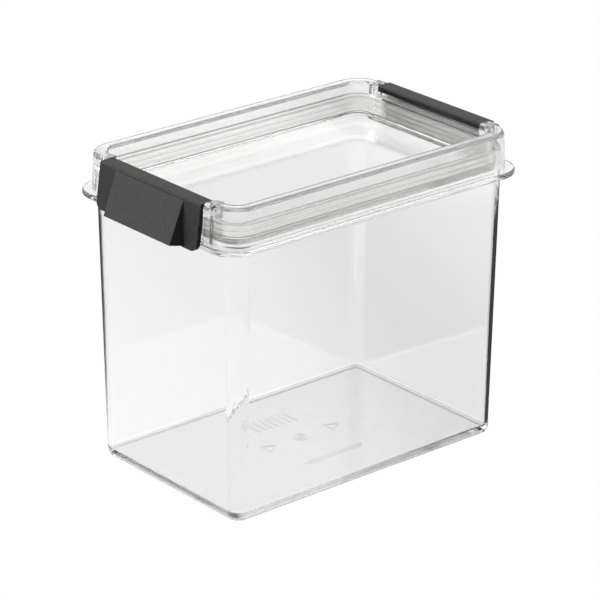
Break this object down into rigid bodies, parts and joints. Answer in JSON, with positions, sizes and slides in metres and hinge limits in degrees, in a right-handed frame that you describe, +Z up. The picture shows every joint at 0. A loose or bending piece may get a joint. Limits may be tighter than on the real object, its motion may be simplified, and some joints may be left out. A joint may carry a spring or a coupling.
{
  "type": "food canister",
  "caption": "Rectangular clear plastic food canister with a recessed stacking lid, a silicone seal and hinged black snap clips at both ends.",
  "frame": {"origin": "middle of the base, on the surface that the canister stands on", "axes": "+X along the long side towards the right clip, +Y across, +Z up"},
  "size_m": [0.1884, 0.1148, 0.1504],
  "materials": {
    "clear_body": "clear moulded styrene plastic, polished mould",
    "clear_lid": "clear moulded styrene plastic, polished mould",
    "silicone": "milky translucent silicone",
    "black_clip": "fine-textured moulded black plastic"
  },
  "bodies": {
    "canister": {"canister_body": "clear_body"},
    "lid": {"lid": "clear_lid", "seal_ring": "silicone"},
    "clip_left": {"clip_left": "black_clip"},
    "clip_right": {"clip_right": "black_clip"}
  },
  "joints": [
    {"name": "lid_lift", "type": "slide", "parent": "canister", "child": "lid", "axis": [0, 0, 1], "range_m": [0, 0.06]},
    {"name": "clip_left_hinge", "type": "hinge", "parent": "lid", "child": "clip_left", "pos_m": [-0.08093, 0, 0.1478], "axis": [0, 1, 0], "range_deg": [0, 110]},
    {"name": "clip_right_hinge", "type": "hinge", "parent": "lid", "child": "clip_right", "pos_m": [0.08093, 0, 0.1478], "axis": [0, -1, 0], "range_deg": [0, 110]}
  ]
}
